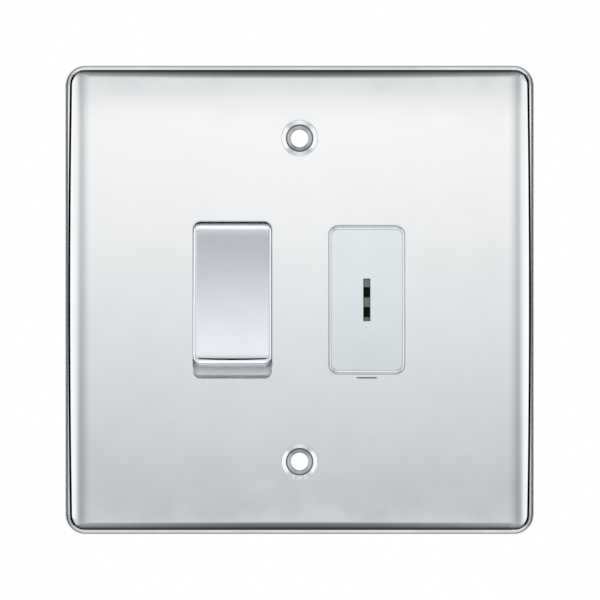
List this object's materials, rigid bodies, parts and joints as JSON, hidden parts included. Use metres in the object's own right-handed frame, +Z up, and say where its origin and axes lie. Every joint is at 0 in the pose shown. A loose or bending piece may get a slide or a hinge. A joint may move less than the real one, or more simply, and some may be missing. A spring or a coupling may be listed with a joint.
{
  "type": "key switch",
  "caption": "Square chrome-plated wall switch plate with a tilting rocker beside a fixed block whose narrow slot takes a key to work the switch behind it.",
  "frame": {"origin": "midway between the two box-screw holes, on the rear face of the frame, which lies on the wall plane", "axes": "+X to the right and +Z up as seen from the front; -Y points out of the wall, towards the user"},
  "size_m": [0.093, 0.0274, 0.093],
  "materials": {
    "bright_plate": "polished chrome plating on pressed steel",
    "plated_rocker": "polished chrome plating",
    "plated_cover": "polished chrome plating",
    "pale_moulding": "moulded, fine matt",
    "dark_moulding": "moulded, satin",
    "lever_nylon": "moulded, satin",
    "zinc_plated_steel": "zinc plated sheet",
    "terminal_brass": "machined brass",
    "contact_copper": "stamped copper alloy",
    "silver_tips": "silver alloy buttons",
    "screw_steel": "bright zinc plated",
    "spring_steel": "drawn wire",
    "black_foam": "closed-cell foam"
  },
  "bodies": {
    "plate_and_modules": {"front_plate": "bright_plate", "plate_gasket": "black_foam", "grid_frame": "zinc_plated_steel", "earth_terminal": "terminal_brass", "earth_screw": "screw_steel", "key_cover": "plated_cover", "rocker_housing": "pale_moulding", "rocker_base": "pale_moulding", "rocker_base_screws": "screw_steel", "rocker_fixed_tips": "silver_tips", "rocker_terminal_common": "terminal_brass", "rocker_terminal_upper": "terminal_brass", "rocker_terminal_lower": "terminal_brass", "rocker_terminal_screws": "screw_steel", "key_housing": "pale_moulding", "key_base": "pale_moulding", "key_base_screws": "screw_steel", "key_fixed_tips": "silver_tips", "key_terminal_common": "terminal_brass", "key_terminal_upper": "terminal_brass", "key_terminal_lower": "terminal_brass", "key_terminal_screws": "screw_steel"},
    "rocker": {"rocker_cap": "plated_rocker", "rocker_dolly": "lever_nylon", "rocker_spring": "spring_steel"},
    "rocker_nose": {"rocker_plunger": "lever_nylon"},
    "rocker_seesaw": {"rocker_contact": "contact_copper", "rocker_moving_tips": "silver_tips"},
    "key_lever": {"key_dolly": "dark_moulding", "key_spring": "spring_steel"},
    "key_nose": {"key_plunger": "lever_nylon"},
    "key_seesaw": {"key_contact": "contact_copper", "key_moving_tips": "silver_tips"}
  },
  "joints": [
    {"name": "rocker_tilt", "type": "hinge", "parent": "plate_and_modules", "child": "rocker", "pos_m": [-0.0133, 0.0018, 0], "axis": [1, 0, 0], "range_deg": [0, 20]},
    {"name": "rocker_plunger_slide", "type": "slide", "parent": "rocker", "child": "rocker_nose", "axis": [0, -0.9848, 0.1736], "range_m": [0, 0.0005], "stiffness_N_per_m": 1500, "deforming": ["rocker_spring"]},
    {"name": "rocker_contact_tilt", "type": "hinge", "parent": "plate_and_modules", "child": "rocker_seesaw", "pos_m": [-0.0133, 0.01281, 0], "axis": [1, 0, 0], "range_deg": [-14, 0]},
    {"name": "key_tilt", "type": "hinge", "parent": "plate_and_modules", "child": "key_lever", "pos_m": [0.0133, 0.0018, 0], "axis": [-1, 0, 0], "range_deg": [0, 10]},
    {"name": "key_plunger_slide", "type": "slide", "parent": "key_lever", "child": "key_nose", "axis": [0, -0.9962, -0.0872], "range_m": [0, 0.0005], "stiffness_N_per_m": 1500, "deforming": ["key_spring"]},
    {"name": "key_contact_tilt", "type": "hinge", "parent": "plate_and_modules", "child": "key_seesaw", "pos_m": [0.0133, 0.01281, 0], "axis": [-1, 0, 0], "range_deg": [-14, 0]}
  ],
  "couplings": [
    {"joint": "rocker_contact_tilt", "follows": "rocker_tilt", "ratio": -0.7},
    {"joint": "key_contact_tilt", "follows": "key_tilt", "ratio": -1.4}
  ]
}
